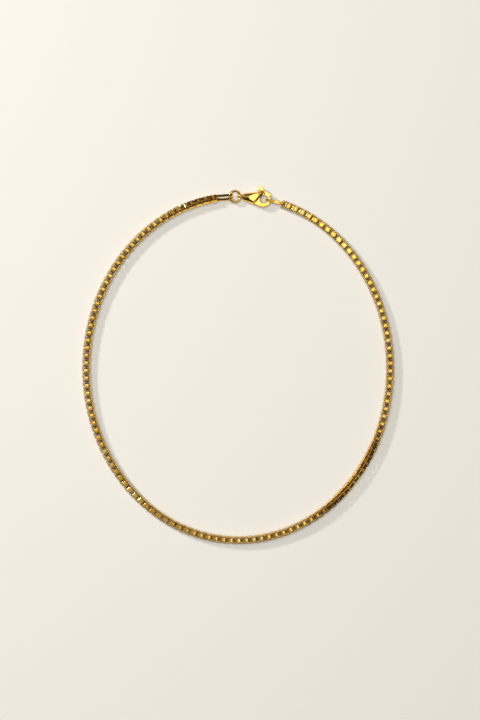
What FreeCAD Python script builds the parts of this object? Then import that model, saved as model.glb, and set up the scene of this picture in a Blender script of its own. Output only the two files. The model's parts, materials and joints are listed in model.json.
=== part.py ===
"""Gold box chain necklace, lying flat and clasped.

The necklace lies on the plane z = 0 in an upright oval, with the clasp at the
back (+Y) and the front centre, where a pendant would hang, at -Y.  Sizes are in
millimetres.  The chain is made of square links bent from flat strip.  Every
second link stands upright and the ones between lie flat, so each link's end bar
passes through the window of the next one.  The chain is divided into short
runs of links; the runs hinge on each other where two links meet.
"""
import FreeCAD, Part
import math
import os

from FreeCAD import Rotation, Vector

# ---- chain ----------------------------------------------------------------
chain_width = 3.0            # outside of a link, across its loop
strip_thickness = 0.50       # the strip that links are bent from
band_side_play = 0.50        # a band is this much narrower than a window
link_play = 0.24             # slack between the end bars of two links
same_way_gap = 0.32          # between the ends of two links that stand alike
inside_bend_radius = 0.08    # inside each corner of a link
outside_bend_radius = 0.34   # outside each corner, which is pressed up square
links_right = 121            # links from the front centre to the right end
links_left = 127             # links from the front centre to the left end
links_per_run = 6            # links in one hinged run
front_run_half = 3           # links of the front run on each side of its middle

# ---- shape of the oval ----------------------------------------------------
oval_ratio = 1.131           # depth of the oval over its width
chain_roll_peak = 35.0       # degrees, where the chain lies rolled on its edge
clasp_roll_reach = 12.5      # how far the roll beside the clasp fades
front_roll_reach = 11.0      # how far the roll at the front right fades
front_roll_place = 0.135     # its middle, as a share of the way round
oval_steps = 7200            # straight steps that stand for the oval's curve

# ---- end connectors and jump ring -----------------------------------------
end_link_length = 7.8        # outside length of a long end link
end_link_band = 1.1          # band of a long end link
ring_outer_diameter = 5.3    # jump ring
ring_wire = 0.9              # wire of the jump ring
bearing_gap = 0.20           # between two pieces that hang in each other
ring_window_play = 0.05      # round the ring's wire, in a rolled end link's window

# ---- clasp ----------------------------------------------------------------
clasp_length = 13.7          # tail to nose
clasp_width = 6.7            # across the nose
clasp_thickness = 3.3        # over the domed body
dome_height = 5.6            # of the full dome, before its crown is flattened
hook_thickness = 1.5         # over the hook, past the shoulder
hook_window_play = 0.25      # on each side of the hook, in an end link's window
shoulder_turn = 35.0         # degrees, the shoulder's line across the clasp
shoulder_slope = 50.0        # degrees, how steeply the shoulder rises
shoulder_margin = 0.15       # flat between the hook hole and the shoulder's foot
hook_hole_diameter = 3.3     # the hole that holds the end link
hook_nose_wall = 1.10        # metal in front of the hole
tail_loop_diameter = 2.3     # the loop at the tail, seen from the side
tail_loop_hole = 1.5         # the hole in the tail loop
tail_loop_width = 1.1        # the tail loop, seen from above
tail_loop_play = 0.28        # between the tail loop and the ring it hangs in
tail_neck_radius = 1.10      # where the body runs out into the tail loop

# ---- trigger --------------------------------------------------------------
lever_thickness = 0.9        # the lever inside its slot
lever_slot_play = 0.10       # on each side of the lever
pin_diameter = 0.8           # the pin that the trigger turns on
pin_running_play = 0.04      # radial play of the trigger on its pin
pin_back_from_hole = 2.35    # from the middle of the hook hole to the pin
pin_out_from_axis = 1.55     # from the middle of the clasp to the pin
hub_diameter = 2.0           # the lever round its pin
gate_gap = 0.12              # between the gate's end and the hook's tip
gate_end_angle = 32.0        # degrees round the hook hole, at the hook's tip
knuckle_radius = 2.35        # round the pin, where the gate meets the body
thumb_tab_stand = 1.4        # how far the thumb tab stands out
thumb_tab_base = 2.6         # width of the thumb tab at its foot
thumb_tab_tip = 1.9          # width of the thumb tab at its top
thumb_tab_thickness = 1.7    # the thumb tab outside the body
heel_length = 2.2            # from the pin back to the end of the heel
heel_height = 0.8            # depth of the heel
spring_diameter = 0.9        # outside of the coil spring under the heel
spring_wire = 0.2            # wire of the coil spring
spring_turns = 3             # turns of the coil spring
spring_seat_gap = 0.02       # at each end of the coil spring
slot_floor = 0.15            # floor of the lever's slot, from the clasp's middle
slot_back_room = 0.35        # room behind the heel

# ---- sizes that follow ----------------------------------------------------
window_height = chain_width - 2 * strip_thickness
band_width = window_height - band_side_play
link_pitch = same_way_gap + 2 * strip_thickness + link_play
link_length = link_pitch + 2 * strip_thickness + link_play
bar_inset = link_length / 2 - link_pitch / 2
ring_radius = (ring_outer_diameter - ring_wire) / 2
hook_hole_radius = hook_hole_diameter / 2
nose_radius = clasp_width / 2
hole_middle = clasp_length - hook_nose_wall - hook_hole_radius
tail_loop_middle = tail_loop_diameter / 2
roll_at_clasp = math.radians(chain_roll_peak)
window_for_hook = hook_thickness + 2 * hook_window_play
window_for_ring = (ring_wire + 2 * ring_window_play
                   + end_link_band * math.sin(roll_at_clasp)) / math.cos(roll_at_clasp)
end_link_window = max(window_height, window_for_hook, window_for_ring)
end_link_width = end_link_window + 2 * strip_thickness
end_link_hold = end_link_length - bar_inset - strip_thickness
ring_hole_radius = ring_radius - ring_wire / 2
ring_seat = math.sqrt(ring_hole_radius ** 2
                      - (end_link_band / 2 / math.cos(roll_at_clasp)) ** 2)
hinge_to_ring = end_link_hold + ring_seat - bearing_gap
hook_seat = math.sqrt(hook_hole_radius ** 2 - (end_link_band / 2) ** 2)
clasp_tail_bearing = tail_loop_middle - tail_loop_hole / 2 + tail_loop_play + ring_wire / 2
clasp_reach = hole_middle + hook_seat - bearing_gap - clasp_tail_bearing
hardware_length = hinge_to_ring + ring_radius + clasp_reach + end_link_hold
loop_length = (links_right + links_left + 1) * link_pitch + hardware_length


# ---- the oval line that the chain follows ---------------------------------
def oval_samples():
    """Points along the oval from the front centre, with the length so far."""
    points = []
    run = 0.0
    last = None
    for step in range(oval_steps + 1):
        turn = 2 * math.pi * step / oval_steps
        point = (math.sin(turn), -oval_ratio * math.cos(turn))
        if last is not None:
            run += math.hypot(point[0] - last[0], point[1] - last[1])
        points.append((run, point, turn))
        last = point
    return points


SAMPLES = oval_samples()
oval_half_width = loop_length / SAMPLES[-1][0]
oval_half_depth = oval_half_width * oval_ratio


def place_on_oval(along, height):
    """A place on the oval at a height, at a distance to the right of the front."""
    wanted = (along % loop_length) / oval_half_width
    low, high = 0, len(SAMPLES) - 1
    while high - low > 1:
        middle = (low + high) // 2
        if SAMPLES[middle][0] <= wanted:
            low = middle
        else:
            high = middle
    share = (wanted - SAMPLES[low][0]) / (SAMPLES[high][0] - SAMPLES[low][0])
    turn = SAMPLES[low][2] + share * (SAMPLES[high][2] - SAMPLES[low][2])
    return Vector(oval_half_width * math.sin(turn), -oval_half_depth * math.cos(turn), height)


def bump(distance, reach):
    """A smooth hill of height one, which fades over the reach."""
    return math.exp(-0.5 * (distance / reach) ** 2)


def side_twist(along, links_on_side):
    """Slow quarter turn of a side whose last link would not meet its end link crosswise."""
    share = min(abs(along) / (links_on_side * link_pitch), 1.0)
    quarter = math.pi / 2 * (1 - links_on_side % 2)
    return quarter * share * share * (3 - 2 * share)


def chain_roll(along):
    """How far the chain is rolled on its own axis, in radians."""
    twist = side_twist(along, links_right if along > 0 else links_left)
    left_end = -(links_left + 0.5) * link_pitch
    beside_clasp = bump(along - left_end, clasp_roll_reach)
    at_front = bump(along - front_roll_place * loop_length, front_roll_reach)
    return roll_at_clasp * beside_clasp + roll_at_clasp * at_front + twist


def lying_height(roll):
    """Height of the chain's middle when it is rolled and rests on the floor."""
    rise = abs(math.cos(roll))
    lean = abs(math.sin(roll))
    upright = chain_width / 2 * rise + band_width / 2 * lean
    flat = chain_width / 2 * lean + band_width / 2 * rise
    return max(upright, flat)


def chain_point(along):
    """Middle of the chain, at a distance along it from the front centre."""
    return place_on_oval(along, lying_height(chain_roll(along)))


def lay_along(shape, middle, toward, roll):
    """Turn a shape made along +X to point toward a direction, and move it."""
    yaw = math.degrees(math.atan2(toward.y, toward.x))
    pitch = math.degrees(math.atan2(toward.z, math.hypot(toward.x, toward.y)))
    turned = Rotation(yaw, -pitch, math.degrees(roll))
    placed = shape.copy()
    placed.Placement = FreeCAD.Placement(middle, turned).multiply(shape.Placement)
    return placed


# ---- links ----------------------------------------------------------------
def rounded_frame(length, height, radius):
    """Closed outline in the XZ plane, centred on the origin, with round corners."""
    edges = []
    corners = [(1, 1), (-1, 1), (-1, -1), (1, -1)]
    spots = []
    for side_x, side_z in corners:
        centre = Vector(side_x * (length / 2 - radius), 0, side_z * (height / 2 - radius))
        start = math.atan2(side_z, side_x) - math.pi / 4
        ends = []
        for step in range(3):
            angle = start + step * math.pi / 4
            ends.append(centre + Vector(radius * math.cos(angle), 0, radius * math.sin(angle)))
        spots.append(ends)
    for index, ends in enumerate(spots):
        edges.append(Part.Arc(ends[0], ends[1], ends[2]).toShape())
        following = spots[(index + 1) % len(spots)]
        edges.append(Part.LineSegment(ends[2], following[0]).toShape())
    return Part.Wire(edges)


def strip_link(length, width, band):
    """A link of flat strip that stands upright: its loop lies in the XZ plane."""
    outside = Part.Face(rounded_frame(length, width, outside_bend_radius))
    window = Part.Face(rounded_frame(length - 2 * strip_thickness,
                                     width - 2 * strip_thickness, inside_bend_radius))
    deep = Vector(0, band, 0)
    solid = outside.extrude(deep).cut(window.extrude(deep))
    solid.translate(Vector(0, -band / 2, 0))
    return solid


def chain_link(number):
    """One chain link, counted from the front centre, positive to the right."""
    along = number * link_pitch
    middle = chain_point(along)
    toward = chain_point(along + link_pitch / 2) - chain_point(along - link_pitch / 2)
    lying = 0.0 if number % 2 == 0 else math.pi / 2
    return lay_along(PLAIN_LINK, middle, toward, chain_roll(along) + lying)


def run_of_links(first, last):
    """The links of one run, each its own solid."""
    return Part.Compound([chain_link(number) for number in range(first, last + 1)])


def runs_on_side(links_on_side):
    """First and last link of each run on one side, from the front to the clasp."""
    runs = []
    first = front_run_half + 1
    while first <= links_on_side:
        last = min(first + links_per_run - 1, links_on_side)
        runs.append((first, last))
        first = last + 1
    return runs


# ---- clasp, in its own frame: tail loop at the origin side, +X to the nose ---
def disc(radius, thickness, x, y):
    """An upright disc, centred on z = 0."""
    return Part.makeCylinder(radius, thickness, Vector(x, y, -thickness / 2))


def slab(x_low, x_high, y_low, y_high, thickness):
    """A box centred on z = 0."""
    corner = Vector(x_low, y_low, -thickness / 2)
    return Part.makeBox(x_high - x_low, y_high - y_low, thickness, corner)


def sideways_disc(radius, width):
    """A disc round the tail loop's middle, on the Y axis."""
    start = Vector(tail_loop_middle, -width / 2, 0)
    return Part.makeCylinder(radius, width, start, Vector(0, 1, 0))


def sector(inner, outer, start, end, thickness):
    """Part of a flat ring round the hook hole, between two angles in degrees."""
    piece = Part.makeCylinder(outer, thickness, Vector(0, 0, -thickness / 2),
                              Vector(0, 0, 1), start - end)
    if inner > 0:
        piece = piece.cut(disc(inner, 2 * thickness, 0, 0))
    piece.rotate(Vector(0, 0, 0), Vector(0, 0, 1), end)
    piece.translate(Vector(hole_middle, 0, 0))
    return piece


def pin_place():
    """Where the trigger's pin stands."""
    return Vector(hole_middle - pin_back_from_hole, pin_out_from_axis, 0)


def teardrop():
    """The solid drop shape that the clasp body is cut from."""
    centre = clasp_length - nose_radius
    start = tail_loop_diameter
    spread = centre - start
    tilt = math.asin((nose_radius - tail_neck_radius) / spread)
    touch = Vector(centre - nose_radius * math.sin(tilt), nose_radius * math.cos(tilt), 0)
    shoulder = Vector(centre + nose_radius * math.sin(math.pi / 4),
                      nose_radius * math.cos(math.pi / 4), 0)
    nose = Vector(clasp_length, 0, 0)
    base = Vector(tail_loop_middle, 0, 0)
    neck = Vector(tail_loop_middle, tail_neck_radius, 0)
    edges = [
        Part.LineSegment(base, neck).toShape(),
        Part.LineSegment(neck, touch).toShape(),
        Part.Arc(touch, shoulder, nose).toShape(),
        Part.LineSegment(nose, base).toShape(),
    ]
    return Part.Face(Part.Wire(edges)).revolve(Vector(0, 0, 0), Vector(1, 0, 0), 360)


def over_hook():
    """What the slanting shoulder leaves off above the hook."""
    far = 2 * clasp_length
    foot = -hook_hole_radius - shoulder_margin
    low = hook_thickness / 2
    back = foot - (far - low) / math.tan(math.radians(shoulder_slope))
    corners = [
        Vector(foot, -far, low),
        Vector(far, -far, low),
        Vector(far, -far, far),
        Vector(back, -far, far),
    ]
    wedge = Part.Face(Part.makePolygon(corners + corners[:1])).extrude(Vector(0, 2 * far, 0))
    wedge.rotate(Vector(0, 0, 0), Vector(0, 0, 1), -shoulder_turn)
    wedge.translate(Vector(hole_middle, 0, 0))
    return wedge


def domed_drop():
    """The flattened drop with its shoulders, before anything is cut into it."""
    far = 2 * clasp_length
    flatten = FreeCAD.Matrix()
    flatten.scale(1, 1, dome_height / clasp_width)
    drop = teardrop().transformGeometry(flatten)
    drop = drop.common(slab(0, far, -far, far, clasp_thickness))
    above = over_hook()
    return drop.cut(above).cut(above.mirror(Vector(0, 0, 0), Vector(0, 0, 1)))


def clasp_body():
    """Domed drop with a hook at its nose and a loop at its tail."""
    far = 2 * clasp_length
    pin = pin_place()
    body = domed_drop()
    tail_sides = slab(0, tail_loop_diameter, -far, far, far)
    tail_sides = tail_sides.cut(slab(0, tail_loop_diameter, -tail_loop_width / 2,
                                     tail_loop_width / 2, far))
    loop = sideways_disc(tail_loop_diameter / 2, tail_loop_width)
    tail_hole = sideways_disc(tail_loop_hole / 2, far)
    body = body.cut(tail_sides).fuse(loop).cut(tail_hole)
    body = body.cut(disc(hook_hole_radius, far, hole_middle, 0))
    slot_back = pin.x - heel_length - slot_back_room
    slot_thickness = lever_thickness + 2 * lever_slot_play
    body = body.cut(slab(slot_back, hole_middle, slot_floor, far, slot_thickness))
    gate_opening = sector(0, 2 * nose_radius, 180, gate_end_angle, far)
    gate_opening = gate_opening.cut(disc(knuckle_radius, 2 * far, pin.x, pin.y))
    gate_opening = gate_opening.common(slab(pin.x, far, 0, far, far))
    body = body.cut(gate_opening)
    body = body.cut(disc(pin_diameter / 2, far, pin.x, pin.y))
    return body.removeSplitter()


def gate():
    """The lever's end that closes the hook, from the knuckle to the hook's tip."""
    pin = pin_place()
    gap_angle = math.degrees(gate_gap / hook_hole_radius)
    shape = sector(hook_hole_radius, nose_radius - gate_gap, 180,
                   gate_end_angle + gap_angle, hook_thickness)
    shape = shape.cut(disc(knuckle_radius + gate_gap, clasp_length, pin.x, pin.y))
    return shape.common(slab(pin.x, 2 * clasp_length, 0, clasp_length, clasp_length))


def thumb_tab():
    """The tab that the thumb pulls back, thicker outside the body."""
    pin = pin_place()
    middle = pin.x + hub_diameter / 4
    top = nose_radius + thumb_tab_stand
    corners = [
        Vector(middle - thumb_tab_base / 2, pin.y, 0),
        Vector(middle + thumb_tab_base / 2, pin.y, 0),
        Vector(middle + thumb_tab_tip / 2, top, 0),
        Vector(middle - thumb_tab_tip / 2, top, 0),
    ]
    outline = Part.Face(Part.makePolygon(corners + corners[:1]))
    blade = outline.extrude(Vector(0, 0, thumb_tab_thickness))
    blade.translate(Vector(0, 0, -thumb_tab_thickness / 2))
    far = 2 * clasp_length
    inside = slab(0, far, 0, nose_radius, far)
    inside = inside.cut(slab(0, far, 0, nose_radius, lever_thickness))
    return blade.cut(inside)


def trigger():
    """Lever with its gate, its hub, its heel under spring and its thumb tab."""
    pin = pin_place()
    pin_angle = math.degrees(math.atan2(pin_out_from_axis, -pin_back_from_hole))
    arm = sector(hook_hole_radius + gate_gap, nose_radius - 2 * gate_gap, pin_angle,
                 2 * gate_end_angle, lever_thickness)
    hub = disc(hub_diameter / 2, lever_thickness, pin.x, pin.y)
    heel = slab(pin.x - heel_length, pin.x, pin.y - heel_height / 2,
                pin.y + heel_height / 2, lever_thickness)
    lever = gate().fuse([arm, hub, heel, thumb_tab()])
    bore = disc(pin_diameter / 2 + pin_running_play, clasp_length, pin.x, pin.y)
    return lever.cut(bore).removeSplitter()


def trigger_pin():
    """Plain pin, filed flush with the dome of the clasp body."""
    pin = pin_place()
    return disc(pin_diameter / 2, clasp_thickness, pin.x, pin.y).common(domed_drop())


def trigger_spring():
    """Small coil spring that stands on the slot floor and lifts the heel."""
    pin = pin_place()
    mean_radius = (spring_diameter - spring_wire) / 2
    room = pin.y - heel_height / 2 - slot_floor - spring_wire - 2 * spring_seat_gap
    pitch = room / spring_turns
    helix = Part.makeHelix(pitch, room, mean_radius)
    profile = Part.Wire(Part.makeCircle(spring_wire / 2, Vector(mean_radius, 0, 0),
                                        Vector(0, 1, 0)))
    coil = Part.Wire(helix.Edges).makePipeShell([profile], True, True)
    coil.rotate(Vector(0, 0, 0), Vector(1, 0, 0), -90)
    coil.translate(Vector(pin.x - heel_length + spring_diameter / 2,
                          slot_floor + spring_wire / 2 + spring_seat_gap, 0))
    return coil


# ---- where the hardware goes ----------------------------------------------
PLAIN_LINK = strip_link(link_length, chain_width, band_width)
LONG_LINK = strip_link(end_link_length, end_link_width, end_link_band)
clasp_height = clasp_thickness / 2
ring_height = clasp_height
left_hinge_along = -(links_left + 0.5) * link_pitch
right_hinge_along = (links_right + 0.5) * link_pitch
ring_along = left_hinge_along - hinge_to_ring
left_hinge = chain_point(left_hinge_along)
right_hinge = chain_point(right_hinge_along)
ring_middle = place_on_oval(ring_along, ring_height)
tail_hangs = place_on_oval(ring_along - ring_radius, clasp_height)
hook_bears = place_on_oval(ring_along - ring_radius - clasp_reach, clasp_height)


def end_link(hinge, hangs_in, roll):
    """A long end link, from its hinge on the chain to the piece it hangs in."""
    toward = hangs_in - hinge
    toward.normalize()
    middle = hinge + toward * (end_link_length / 2 - bar_inset)
    return lay_along(LONG_LINK, middle, toward, roll)


def clasp_frame():
    """Placement that lays the clasp between the jump ring and the end link."""
    toward = hook_bears - tail_hangs
    yaw = math.degrees(math.atan2(toward.y, toward.x))
    laid = FreeCAD.Placement(tail_hangs, Rotation(yaw, 0, 0))
    back = FreeCAD.Placement(Vector(-clasp_tail_bearing, 0, 0), Rotation())
    return laid.multiply(back)


def build():
    """All nodes by name, before the origin is set."""
    nodes = {}
    nodes["chain_front"] = run_of_links(-front_run_half, front_run_half)
    for index, (first, last) in enumerate(runs_on_side(links_right), start=1):
        nodes["chain_right_%02d" % index] = run_of_links(first, last)
    for index, (first, last) in enumerate(runs_on_side(links_left), start=1):
        nodes["chain_left_%02d" % index] = run_of_links(-last, -first)
    nodes["left_end_link"] = end_link(left_hinge, ring_middle, -roll_at_clasp)
    nodes["right_end_link"] = end_link(right_hinge, hook_bears, 0)
    nodes["jump_ring"] = Part.makeTorus(ring_radius, ring_wire / 2, ring_middle)
    laid = clasp_frame()
    for name, shape in (("clasp_body", clasp_body()), ("trigger", trigger()),
                        ("trigger_pin", trigger_pin()), ("trigger_spring", trigger_spring())):
        placed = shape.copy()
        placed.Placement = laid.multiply(placed.Placement)
        nodes[name] = placed
    return nodes


nodes = build()
back_edge = max(shape.optimalBoundingBox(False).YMax for shape in nodes.values())
front_edge = min(shape.optimalBoundingBox(False).YMin for shape in nodes.values())
to_origin = Vector(0, -(back_edge + front_edge) / 2, 0)

os.makedirs("parts", exist_ok=True)
for name, shape in nodes.items():
    shape.translate(to_origin)
    shape.exportStep("parts/" + name + ".step")
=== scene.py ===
"""Yellow gold box chain necklace, clasped, lying in an oval on a pale table top."""
import json
import math

import bmesh
import bpy
from mathutils import Matrix, Vector


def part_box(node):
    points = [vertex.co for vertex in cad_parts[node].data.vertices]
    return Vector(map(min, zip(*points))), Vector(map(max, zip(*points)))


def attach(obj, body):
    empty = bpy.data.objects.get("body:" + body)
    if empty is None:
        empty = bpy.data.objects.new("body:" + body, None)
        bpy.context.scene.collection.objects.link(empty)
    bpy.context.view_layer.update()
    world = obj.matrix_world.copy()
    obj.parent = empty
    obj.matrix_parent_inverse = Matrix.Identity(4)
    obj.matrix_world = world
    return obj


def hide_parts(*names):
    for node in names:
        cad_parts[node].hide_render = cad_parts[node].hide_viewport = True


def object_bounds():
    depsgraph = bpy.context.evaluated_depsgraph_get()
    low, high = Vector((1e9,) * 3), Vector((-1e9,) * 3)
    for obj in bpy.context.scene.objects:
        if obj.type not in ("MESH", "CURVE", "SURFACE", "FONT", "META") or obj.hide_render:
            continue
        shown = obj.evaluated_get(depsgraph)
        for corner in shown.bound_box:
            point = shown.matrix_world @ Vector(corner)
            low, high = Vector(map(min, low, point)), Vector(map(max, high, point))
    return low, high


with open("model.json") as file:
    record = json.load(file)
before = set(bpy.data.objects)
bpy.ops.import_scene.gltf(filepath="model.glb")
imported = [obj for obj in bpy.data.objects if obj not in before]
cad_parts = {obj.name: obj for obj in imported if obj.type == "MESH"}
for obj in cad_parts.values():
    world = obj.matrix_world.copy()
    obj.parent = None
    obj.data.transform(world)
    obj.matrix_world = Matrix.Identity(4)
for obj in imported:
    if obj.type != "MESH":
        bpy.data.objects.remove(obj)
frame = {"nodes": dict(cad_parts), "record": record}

MM = 0.001
cad_low, cad_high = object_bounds()

# ---- sizes of the links and rings, in millimetres --------------------------
CHAIN_WIDTH = 3.0
CHAIN_LENGTH = 2.8
STRIP = 0.5
CHAIN_BAND = 1.5
END_LINK_BAND = 1.1
OUTSIDE_BEND = 0.34
INSIDE_BEND = 0.08
EDGE_BREAK = 0.085
EDGE_CREST = 0.5            # the rounded strip edge stands proudest half way through
RING_WIRE = 0.9
RING_JOINT_GAP = 0.05
RING_JOINT_TURN = 115.0     # degrees round the ring, where the wire's ends meet
RING_STEPS = 72
WIRE_STEPS = 20
# how far back from a wire end, in joint gaps, and the share of full thickness there
WIRE_END = ((0.0, 0.0), (0.08, 0.75), (0.20, 1.0))
SMOOTH_BENDS = 58.0         # degrees; a sharper fold than this keeps its edge

# ---- gold ------------------------------------------------------------------
PALE_GOLD = (1.0, 0.66, 0.17, 1)
RICH_GOLD = (0.94, 0.55, 0.085, 1)
# painted shade: the dark red-brown blended into the gold's recesses and the gaps between links
PAINTED_SHADE_GOLD = (0.26, 0.075, 0.012, 1)


# ---- node helpers ----------------------------------------------------------
def new_node(tree, kind, **settings):
    """A node of a kind, with its settings made."""
    node = tree.nodes.new(kind)
    for name, value in settings.items():
        setattr(node, name, value)
    return node


def fill(node, **values):
    """Values for a node's inputs, given by their labels with underscores for blanks."""
    for name, value in values.items():
        node.inputs[name.replace("_", " ")].default_value = value
    return node


def noise(tree, place, scale, detail, roughness=0.5):
    """A noise pattern on the piece's own coordinates."""
    node = new_node(tree, "ShaderNodeTexNoise")
    fill(node, Scale=scale, Detail=detail, Roughness=roughness)
    tree.links.new(place, node.inputs["Vector"])
    return node.outputs["Fac"]


def spread(tree, value, low, high, to_low, to_high):
    """A value moved from one range to another."""
    node = new_node(tree, "ShaderNodeMapRange")
    node.inputs["From Min"].default_value = low
    node.inputs["From Max"].default_value = high
    node.inputs["To Min"].default_value = to_low
    node.inputs["To Max"].default_value = to_high
    tree.links.new(value, node.inputs["Value"])
    return node.outputs["Result"]


def blend_colours(tree, share, first, second):
    """Two colours mixed by a share; each is a colour or another node's output."""
    node = new_node(tree, "ShaderNodeMix", data_type="RGBA")
    tree.links.new(share, node.inputs["Factor"])
    for socket, colour in ((node.inputs[6], first), (node.inputs[7], second)):
        if isinstance(colour, bpy.types.NodeSocket):
            tree.links.new(colour, socket)
        else:
            socket.default_value = colour
    return node.outputs[2]


def blank_material(name):
    """A material with only its shader and output."""
    material = bpy.data.materials.new(name)
    material.use_nodes = True
    tree = material.node_tree
    shader = tree.nodes["Principled BSDF"]
    return material, tree, shader


# ---- finishes --------------------------------------------------------------
def polished_gold(name, gloss, haze, wear_scale, recess_shade_strength):
    """Yellow gold: polish with hairline wear, handling haze, and painted shade: a dark
    red-brown blended into its recesses.
    """
    material, tree, shader = blank_material(name)
    place = new_node(tree, "ShaderNodeTexCoord").outputs["Object"]
    shader.inputs["Metallic"].default_value = 1.0
    cloud = noise(tree, place, 160.0, 3.0)
    tone = blend_colours(tree, spread(tree, cloud, 0.35, 0.65, 0.0, 1.0), RICH_GOLD, PALE_GOLD)
    # painted shade: ambient occlusion blends the dark red-brown into recesses and gaps, by the
    # given strength
    shade = new_node(tree, "ShaderNodeAmbientOcclusion", samples=8)
    shade.inputs["Distance"].default_value = 0.9 * MM
    painted_shade_share = spread(tree, shade.outputs["AO"], 0.15, 0.75, recess_shade_strength, 0.0)
    tree.links.new(blend_colours(tree, painted_shade_share, tone, PAINTED_SHADE_GOLD), shader.inputs["Base Color"])
    handling = noise(tree, place, 900.0, 4.0, 0.6)
    tree.links.new(spread(tree, handling, 0.3, 0.7, gloss, gloss + haze),
                   shader.inputs["Roughness"])
    stretch = new_node(tree, "ShaderNodeMapping")
    stretch.inputs["Scale"].default_value = (1.0, 0.12, 0.5)
    stretch.inputs["Rotation"].default_value = (0.0, 0.0, 0.7)
    tree.links.new(place, stretch.inputs["Vector"])
    hairlines = noise(tree, stretch.outputs["Vector"], wear_scale, 5.0, 0.7)
    bump = new_node(tree, "ShaderNodeBump")
    fill(bump, Strength=0.12, Distance=0.02 * MM)
    tree.links.new(hairlines, bump.inputs["Height"])
    tree.links.new(bump.outputs["Normal"], shader.inputs["Normal"])
    return material


def spring_steel():
    """Bright drawn spring wire."""
    material, tree, shader = blank_material("spring wire")
    place = new_node(tree, "ShaderNodeTexCoord").outputs["Object"]
    shader.inputs["Metallic"].default_value = 1.0
    drawn = noise(tree, place, 3000.0, 2.0)
    tree.links.new(blend_colours(tree, drawn, (0.55, 0.54, 0.52, 1), (0.75, 0.74, 0.72, 1)),
                   shader.inputs["Base Color"])
    tree.links.new(spread(tree, drawn, 0.3, 0.7, 0.2, 0.4), shader.inputs["Roughness"])
    return material


def table_top():
    """Warm off-white card with a very fine tooth."""
    material, tree, shader = blank_material("pale card")
    place = new_node(tree, "ShaderNodeTexCoord").outputs["Object"]
    tooth = noise(tree, place, 2200.0, 4.0, 0.6)
    tree.links.new(blend_colours(tree, tooth, (0.80, 0.775, 0.715, 1), (0.83, 0.81, 0.755, 1)),
                   shader.inputs["Base Color"])
    shader.inputs["Roughness"].default_value = 0.85
    bump = new_node(tree, "ShaderNodeBump")
    fill(bump, Strength=0.08, Distance=0.03 * MM)
    tree.links.new(tooth, bump.inputs["Height"])
    tree.links.new(bump.outputs["Normal"], shader.inputs["Normal"])
    return material


CHAIN_GOLD = polished_gold("chain gold", 0.10, 0.12, 1500.0, 0.90)
CLASP_GOLD = polished_gold("clasp gold", 0.10, 0.08, 700.0, 0.35)
PIN_GOLD = polished_gold("pin gold", 0.22, 0.16, 1500.0, 0.3)
SPRING_STEEL = spring_steel()


# ---- reading the frame -----------------------------------------------------
HALF_TURN_STEPS = 180


def merged_copy(node):
    """A working mesh of a node with its triangles joined up."""
    work = bmesh.new()
    work.from_mesh(frame["nodes"][node].data)
    bmesh.ops.remove_doubles(work, verts=work.verts, dist=0.001 * MM)
    return work


def solids_in(node):
    """The vertex positions of each separate solid in a node."""
    work = merged_copy(node)
    unseen = set(work.verts)
    solids = []
    while unseen:
        grown = [unseen.pop()]
        for vertex in grown:
            for edge in vertex.link_edges:
                other = edge.other_vert(vertex)
                if other in unseen:
                    unseen.remove(other)
                    grown.append(other)
        solids.append([vertex.co.copy() for vertex in grown])
    work.free()
    return solids


def reach(points, axis):
    """How far a set of points reaches both ways along an axis."""
    along = [point.dot(axis) for point in points]
    return min(along), max(along)


def middle_of(points):
    """Middle of the box round a set of points."""
    sides = [reach(points, axis) for axis in (Vector((1, 0, 0)), Vector((0, 1, 0)),
                                              Vector((0, 0, 1)))]
    return Vector([(low + high) / 2 for low, high in sides])


def window_axis(points, ahead):
    """The way through a link's window: across the chain, where the link is narrowest."""
    side = ahead.cross(Vector((0, 0, 1))).normalized()
    up = side.cross(ahead).normalized()
    best = None
    for step in range(HALF_TURN_STEPS):
        turn = math.pi * step / HALF_TURN_STEPS
        axis = side * math.cos(turn) + up * math.sin(turn)
        low, high = reach(points, axis)
        if best is None or high - low < best[0]:
            best = (high - low, axis)
    return best[1]


def link_turn(points, ahead):
    """Turning of an upright link made along +X, so that it lies as the solid does."""
    across = window_axis(points, ahead)
    up = ahead.cross(across).normalized()
    return Matrix((ahead, across, up)).transposed().to_euler()


def links_round_the_chain():
    """Every chain link in order round the oval, as (node, middle, turning)."""
    middle = (cad_low + cad_high) / 2
    found = []
    for node in frame["nodes"]:
        if node.startswith("chain_"):
            for points in solids_in(node):
                place = middle_of(points)
                angle = math.atan2(place.x - middle.x, middle.y - place.y)
                found.append((angle, node, place, points))
    found.sort(key=lambda link: link[0])
    links = []
    for index, (angle, node, place, points) in enumerate(found):
        before = found[max(index - 1, 0)][2]
        after = found[min(index + 1, len(found) - 1)][2]
        links.append((node, place, link_turn(points, (after - before).normalized())))
    return links


# ---- links bent from strip, made with Geometry Nodes -----------------------
STATIONS_PER_CORNER = 3
STATIONS = 4 * STATIONS_PER_CORNER
SECTION_CORNERS = 6


def maths(tree, operation, *values):
    """One sum; each value is a number or another node's output."""
    node = new_node(tree, "ShaderNodeMath", operation=operation)
    for socket, value in zip(node.inputs, values):
        if isinstance(value, bpy.types.NodeSocket):
            tree.links.new(value, socket)
        else:
            socket.default_value = value
    return node.outputs[0]


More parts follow.
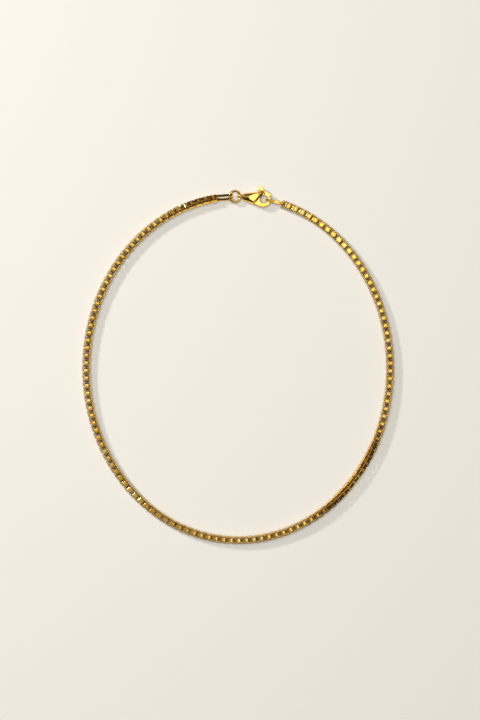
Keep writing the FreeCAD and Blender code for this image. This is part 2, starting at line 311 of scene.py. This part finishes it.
def outline(tree, length, height, radius, station):
    """The place of each station on a rectangle with round corners."""
    frame_curve = new_node(tree, "GeometryNodeCurvePrimitiveQuadrilateral")
    tree.links.new(length, frame_curve.inputs["Width"])
    tree.links.new(height, frame_curve.inputs["Height"])
    corner = new_node(tree, "GeometryNodeFilletCurve", mode="POLY")
    corner.inputs["Count"].default_value = STATIONS_PER_CORNER - 1
    tree.links.new(frame_curve.outputs["Curve"], corner.inputs["Curve"])
    tree.links.new(radius, corner.inputs["Radius"])
    place = new_node(tree, "GeometryNodeInputPosition")
    sample = new_node(tree, "GeometryNodeSampleIndex", data_type="FLOAT_VECTOR")
    tree.links.new(corner.outputs["Curve"], sample.inputs["Geometry"])
    tree.links.new(place.outputs["Position"], sample.inputs["Value"])
    tree.links.new(station, sample.inputs["Index"])
    return sample.outputs["Value"]


def section_corner_places(tree, given, corner):
    """Share from inside to outside, and place across the band, of each section corner."""
    half = maths(tree, "MULTIPLY", given["Band"], 0.5)
    inset = maths(tree, "SUBTRACT", half, given["Edge Break"])
    switch = new_node(tree, "GeometryNodeIndexSwitch", data_type="VECTOR")
    while len(switch.index_switch_items) < SECTION_CORNERS:
        switch.index_switch_items.new()
    tree.links.new(corner, switch.inputs["Index"])
    corners = ((0.0, inset, -1), (0.0, inset, 1), (EDGE_CREST, half, 1),
               (1.0, inset, 1), (1.0, inset, -1), (EDGE_CREST, half, -1))
    for number, (outward, across, side) in enumerate(corners):
        joined = new_node(tree, "ShaderNodeCombineXYZ")
        joined.inputs["X"].default_value = outward
        tree.links.new(maths(tree, "MULTIPLY", across, side), joined.inputs["Y"])
        tree.links.new(joined.outputs["Vector"], switch.inputs[number + 1])
    parts = new_node(tree, "ShaderNodeSeparateXYZ")
    tree.links.new(switch.outputs["Output"], parts.inputs["Vector"])
    return parts.outputs["X"], parts.outputs["Y"]


def one_link(tree, given):
    """Mesh of an upright link: its section carried round from inside to outside."""
    grid = new_node(tree, "GeometryNodeMeshGrid")
    grid.inputs["Vertices X"].default_value = STATIONS + 1
    grid.inputs["Vertices Y"].default_value = SECTION_CORNERS + 1
    index = new_node(tree, "GeometryNodeInputIndex").outputs["Index"]
    row = maths(tree, "FLOOR", maths(tree, "DIVIDE", index, SECTION_CORNERS + 1.0))
    station = maths(tree, "MODULO", row, STATIONS)
    column = maths(tree, "MODULO", index, SECTION_CORNERS + 1.0)
    corner = maths(tree, "MODULO", column, SECTION_CORNERS)
    twice_strip = maths(tree, "MULTIPLY", given["Strip"], 2.0)
    inner = outline(tree, maths(tree, "SUBTRACT", given["Link Length"], twice_strip),
                    maths(tree, "SUBTRACT", given["Link Width"], twice_strip),
                    given["Inside Bend"], station)
    outer = outline(tree, given["Link Length"], given["Link Width"],
                    given["Outside Bend"], station)
    outward, across = section_corner_places(tree, given, corner)
    between = new_node(tree, "ShaderNodeMix", data_type="VECTOR")
    between.clamp_factor = False
    tree.links.new(outward, between.inputs["Factor"])
    tree.links.new(inner, between.inputs[4])
    tree.links.new(outer, between.inputs[5])
    flat = new_node(tree, "ShaderNodeSeparateXYZ")
    tree.links.new(between.outputs[1], flat.inputs["Vector"])
    upright = new_node(tree, "ShaderNodeCombineXYZ")
    tree.links.new(flat.outputs["X"], upright.inputs["X"])
    tree.links.new(across, upright.inputs["Y"])
    tree.links.new(flat.outputs["Y"], upright.inputs["Z"])
    shaped = new_node(tree, "GeometryNodeSetPosition")
    tree.links.new(grid.outputs["Mesh"], shaped.inputs["Geometry"])
    tree.links.new(upright.outputs["Vector"], shaped.inputs["Position"])
    closed = new_node(tree, "GeometryNodeMergeByDistance")
    closed.inputs["Distance"].default_value = 0.0005 * MM
    tree.links.new(shaped.outputs["Geometry"], closed.inputs["Geometry"])
    return closed.outputs["Geometry"]


def strip_link_tree():
    """Tree that puts a link bent from strip on every point of a mesh."""
    tree = bpy.data.node_groups.new("strip links", "GeometryNodeTree")
    face = tree.interface
    face.new_socket("Places", in_out="INPUT", socket_type="NodeSocketGeometry")
    for label in ("Link Length", "Link Width", "Band", "Strip", "Outside Bend", "Inside Bend",
                  "Edge Break"):
        face.new_socket(label, in_out="INPUT", socket_type="NodeSocketFloat")
    face.new_socket("Finish", in_out="INPUT", socket_type="NodeSocketMaterial")
    face.new_socket("Links", in_out="OUTPUT", socket_type="NodeSocketGeometry")
    given = new_node(tree, "NodeGroupInput").outputs
    result = new_node(tree, "NodeGroupOutput")
    turning = new_node(tree, "GeometryNodeInputNamedAttribute", data_type="FLOAT_VECTOR")
    turning.inputs["Name"].default_value = "turning"
    placed = new_node(tree, "GeometryNodeInstanceOnPoints")
    tree.links.new(given["Places"], placed.inputs["Points"])
    tree.links.new(one_link(tree, given), placed.inputs["Instance"])
    tree.links.new(turning.outputs["Attribute"], placed.inputs["Rotation"])
    real = new_node(tree, "GeometryNodeRealizeInstances")
    tree.links.new(placed.outputs["Instances"], real.inputs["Geometry"])
    finish = new_node(tree, "GeometryNodeSetMaterial")
    tree.links.new(real.outputs["Geometry"], finish.inputs["Geometry"])
    tree.links.new(given["Finish"], finish.inputs["Material"])
    tree.links.new(finish.outputs["Geometry"], result.inputs["Links"])
    return tree


def linked_object(name, mesh):
    """A new object in the scene."""
    piece = bpy.data.objects.new(name, mesh)
    bpy.context.scene.collection.objects.link(piece)
    return piece


def bent_links(name, places, length, band, finish):
    """A plain mesh of strip links, one at each (middle, turning)."""
    seeds = bpy.data.meshes.new(name + "_places")
    seeds.from_pydata([tuple(middle) for middle, turning in places], [], [])
    attribute = seeds.attributes.new("turning", "FLOAT_VECTOR", "POINT")
    for index, (middle, turning) in enumerate(places):
        attribute.data[index].vector = tuple(turning)
    holder = linked_object(name + "_seed", seeds)
    modifier = holder.modifiers.new("links", "NODES")
    modifier.node_group = STRIP_LINKS
    sizes = {"Link Length": length, "Link Width": CHAIN_WIDTH, "Band": band, "Strip": STRIP,
             "Outside Bend": OUTSIDE_BEND, "Inside Bend": INSIDE_BEND, "Edge Break": EDGE_BREAK}
    for item in STRIP_LINKS.interface.items_tree:
        if item.in_out == "INPUT" and item.name in sizes:
            modifier[item.identifier] = sizes[item.name] * MM
        elif item.in_out == "INPUT" and item.name == "Finish":
            modifier[item.identifier] = finish
    evaluated = holder.evaluated_get(bpy.context.evaluated_depsgraph_get())
    mesh = bpy.data.meshes.new_from_object(evaluated)
    mesh.name = name
    bpy.data.objects.remove(holder)
    work = bmesh.new()
    work.from_mesh(mesh)
    bmesh.ops.recalc_face_normals(work, faces=work.faces)
    work.to_mesh(mesh)
    work.free()
    mesh.shade_smooth()
    mesh.set_sharp_from_angle(angle=math.radians(SMOOTH_BENDS))
    return linked_object(name, mesh)


STRIP_LINKS = strip_link_tree()


def body_of_node(node):
    """The moving body that a node belongs to."""
    bodies = frame["record"]["behaviour"]["bodies"]
    return next(body for body, nodes in bodies.items() if node in nodes)


def stand_for(piece, node):
    """Put a finished piece in a node's place."""
    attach(piece, body_of_node(node))
    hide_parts(node)


def make_chain():
    """The runs of links, one piece for each."""
    runs = {}
    for node, middle, turning in links_round_the_chain():
        runs.setdefault(node, []).append((middle, turning))
    for node, places in runs.items():
        piece = bent_links(node + "_links", places, CHAIN_LENGTH, CHAIN_BAND, CHAIN_GOLD)
        stand_for(piece, node)


def link_length_of(points, ahead):
    """Length of a link along its own axis, in millimetres."""
    low, high = reach(points, ahead)
    return (high - low) / MM


def longest_axis(points):
    """Direction between the two ends of a long link."""
    far = max(points, key=lambda point: point.x)
    near = min(points, key=lambda point: point.x)
    ends = []
    for end in (near, far):
        close = [point for point in points if abs(point.x - end.x) < 0.5 * MM]
        ends.append(sum(close, Vector()) / len(close))
    return (ends[1] - ends[0]).normalized()


def make_end_link(node):
    """One of the two long links at the ends of the chain."""
    points = solids_in(node)[0]
    ahead = longest_axis(points)
    place = middle_of(points)
    length = link_length_of(points, ahead)
    piece = bent_links(node + "_strip", [(place, link_turn(points, ahead))], length,
                       END_LINK_BAND, CLASP_GOLD)
    stand_for(piece, node)


# ---- ring ------------------------------------------------------------------
def make_jump_ring():
    """Round wire bent into a ring, with the fine line where its ends meet."""
    low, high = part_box("jump_ring")
    middle = (low + high) / 2
    wire = RING_WIRE / 2 * MM
    ring = (high.x - low.x) / 2 - wire
    gap = RING_JOINT_GAP * MM / ring
    start = math.radians(RING_JOINT_TURN) + gap / 2
    end = start + 2 * math.pi - gap
    work = bmesh.new()
    loops = []
    turns = [(start + gap * back, width) for back, width in WIRE_END]
    turns += [(start + (end - start) * step / RING_STEPS, 1.0) for step in range(1, RING_STEPS)]
    turns += [(end - gap * back, width) for back, width in reversed(WIRE_END)]
    for turn, width in turns:
        loop = []
        if width == 0.0:
            centre = Vector((ring * math.cos(turn), ring * math.sin(turn), 0))
            loops.append([work.verts.new(middle + centre)])
            continue
        for step in range(WIRE_STEPS):
            angle = 2 * math.pi * step / WIRE_STEPS
            out = ring + wire * width * math.cos(angle)
            loop.append(work.verts.new(middle + Vector((out * math.cos(turn),
                                                        out * math.sin(turn),
                                                        wire * width * math.sin(angle)))))
        loops.append(loop)
    for first, second in zip(loops, loops[1:]):
        for step in range(WIRE_STEPS):
            after = (step + 1) % WIRE_STEPS
            if len(first) == 1:
                work.faces.new((first[0], second[step], second[after]))
            elif len(second) == 1:
                work.faces.new((first[step], second[0], first[after]))
            else:
                work.faces.new((first[step], second[step], second[after], first[after]))
    bmesh.ops.recalc_face_normals(work, faces=work.faces)
    mesh = bpy.data.meshes.new("jump_ring_wire")
    work.to_mesh(mesh)
    work.free()
    mesh.shade_smooth()
    mesh.materials.append(CLASP_GOLD)
    stand_for(linked_object("jump_ring_wire", mesh), "jump_ring")


# ---- cast and tumbled pieces -----------------------------------------------
CLASP_GRAIN = 0.07
CLASP_POLISH = 14
TRIGGER_GRAIN = 0.05
TRIGGER_POLISH = 5


def tumbled(node, name, grain, softening, finish):
    """A node's shape with its edges rounded over, as tumbling and polish leave it."""
    work = merged_copy(node)
    work.transform(Matrix.Scale(1 / MM, 4))
    mesh = bpy.data.meshes.new(name)
    work.to_mesh(mesh)
    work.free()
    rough = linked_object(name + "_rough", mesh)
    remesh = rough.modifiers.new("grain", "REMESH")
    remesh.mode = "VOXEL"
    remesh.voxel_size = grain
    soften = rough.modifiers.new("polish", "SMOOTH")
    soften.factor = 0.5
    soften.iterations = softening
    evaluated = rough.evaluated_get(bpy.context.evaluated_depsgraph_get())
    polished = bpy.data.meshes.new_from_object(evaluated)
    bpy.data.objects.remove(rough)
    polished.name = name
    polished.transform(Matrix.Scale(MM, 4))
    polished.shade_smooth()
    polished.materials.clear()
    polished.materials.append(finish)
    return linked_object(name, polished)


def make_clasp():
    """Clasp body and trigger, with the pin and the spring that the CAD gives."""
    body = tumbled("clasp_body", "clasp_casting", CLASP_GRAIN, CLASP_POLISH, CLASP_GOLD)
    stand_for(body, "clasp_body")
    lever = tumbled("trigger", "trigger_casting", TRIGGER_GRAIN, TRIGGER_POLISH, CLASP_GOLD)
    stand_for(lever, "trigger")
    for node, finish in (("trigger_pin", PIN_GOLD), ("trigger_spring", SPRING_STEEL)):
        slots = frame["nodes"][node].material_slots
        for slot in slots:
            slot.material = finish


# ---- studio, in metres and watts -------------------------------------------
PICTURE_HEIGHT = 0.2952
PICTURE_SHIFT = (0.0008, 0.0022)
CARD_LEAN = (0.70, 0.70, 0.0)
CARD_EDGE = 0.90
CARD_FULL = 0.985
CARD_DIM = 0.30
CARD_BRIGHT = 0.66
HOT_EDGE = 0.048
HOT_FULL = 0.060
HOT_FALL = 0.078
HOT_END = 0.095
HOT_LIGHT = 3.8
SIDE_CARD_PLACE = (-0.50, 0.35, 0.79)
SIDE_CARD_EDGE = 0.86
SIDE_CARD_FULL = 0.97
SIDE_CARD_LIGHT = 0.32
ROOM_LIGHT = 0.05
TABLE_SIDE = 3.0
CAMERA_HEIGHT = 0.9
KEY_PLACE = (-0.78, 0.57, 0.53)
KEY_SIZE = 0.10
KEY_POWER = 6.2
FILL_PLACE = (-0.15, 0.1, 1.3)
FILL_SIZE = 1.0
FILL_POWER = 13.4


def area_light(name, place, aim, size, power, colour):
    """A square softbox."""
    light = bpy.data.lights.new(name, "AREA")
    light.size = size
    light.energy = power
    light.color = colour
    lamp = bpy.data.objects.new(name, light)
    lamp.location = place
    lamp.rotation_euler = (Vector(aim) - Vector(place)).to_track_quat("-Z", "Y").to_euler()
    bpy.context.scene.collection.objects.link(lamp)
    return lamp


def studio_walls():
    """A dim room with a bright card overhead, which is brightest toward one side."""
    world = bpy.data.worlds.new("studio")
    bpy.context.scene.world = world
    world.use_nodes = True
    tree = world.node_tree
    background = tree.nodes["Background"]
    direction = new_node(tree, "ShaderNodeTexCoord").outputs["Generated"]
    height = new_node(tree, "ShaderNodeSeparateXYZ")
    tree.links.new(direction, height.inputs["Vector"])
    card = spread(tree, height.outputs["Z"], CARD_EDGE, CARD_FULL, 0.0, 1.0)
    lean = new_node(tree, "ShaderNodeVectorMath", operation="DOT_PRODUCT")
    lean.inputs[1].default_value = CARD_LEAN
    tree.links.new(direction, lean.inputs[0])
    toward = spread(tree, lean.outputs["Value"], -0.07, 0.05, CARD_DIM, CARD_BRIGHT)
    rise = spread(tree, lean.outputs["Value"], HOT_EDGE, HOT_FULL, 0.0, HOT_LIGHT)
    fall = spread(tree, lean.outputs["Value"], HOT_FALL, HOT_END, 1.0, 0.0)
    hot = maths(tree, "MULTIPLY", rise, fall)
    lit = maths(tree, "MULTIPLY", card, maths(tree, "ADD", toward, hot))
    beside = new_node(tree, "ShaderNodeVectorMath", operation="DOT_PRODUCT")
    beside.inputs[1].default_value = SIDE_CARD_PLACE
    tree.links.new(direction, beside.inputs[0])
    side = spread(tree, beside.outputs["Value"], SIDE_CARD_EDGE, SIDE_CARD_FULL,
                  0.0, SIDE_CARD_LIGHT)
    glow = maths(tree, "ADD", maths(tree, "ADD", lit, side), ROOM_LIGHT)
    tree.links.new(glow, background.inputs["Strength"])
    background.inputs["Color"].default_value = (1.0, 0.97, 0.92, 1)


def make_floor():
    """A wide pale table top under the necklace."""
    mesh = bpy.data.meshes.new("table_top")
    side = TABLE_SIDE
    corners = [(-side, -side, 0), (side, -side, 0), (side, side, 0), (-side, side, 0)]
    mesh.from_pydata([(x, y, cad_low.z) for x, y, z in corners], [], [(0, 1, 2, 3)])
    mesh.materials.append(table_top())
    linked_object("table_top", mesh)


def make_camera():
    """Straight down over the necklace, with the clasp at the top of the picture."""
    middle = (cad_low + cad_high) / 2
    data = bpy.data.cameras.new("overhead")
    data.sensor_width = 36.0
    data.lens = data.sensor_width * CAMERA_HEIGHT / PICTURE_HEIGHT
    data.clip_start, data.clip_end = 0.01, 20.0
    camera = bpy.data.objects.new("overhead", data)
    camera.location = (middle.x + PICTURE_SHIFT[0], middle.y + PICTURE_SHIFT[1], CAMERA_HEIGHT)
    camera.rotation_euler = (0, 0, 0)
    bpy.context.scene.collection.objects.link(camera)
    bpy.context.scene.camera = camera


make_camera()
make_floor()
make_chain()
make_end_link("left_end_link")
make_end_link("right_end_link")
make_jump_ring()
make_clasp()
studio_walls()
area_light("key softbox", KEY_PLACE, (0, 0, 0), KEY_SIZE, KEY_POWER, (1.0, 0.98, 0.94))
fill_light = area_light("fill softbox", FILL_PLACE, (0, 0, 0), FILL_SIZE, FILL_POWER,
                        (1.0, 0.99, 0.97))
fill_light.visible_glossy = False

view = bpy.context.scene.view_settings
view.view_transform = "Standard"
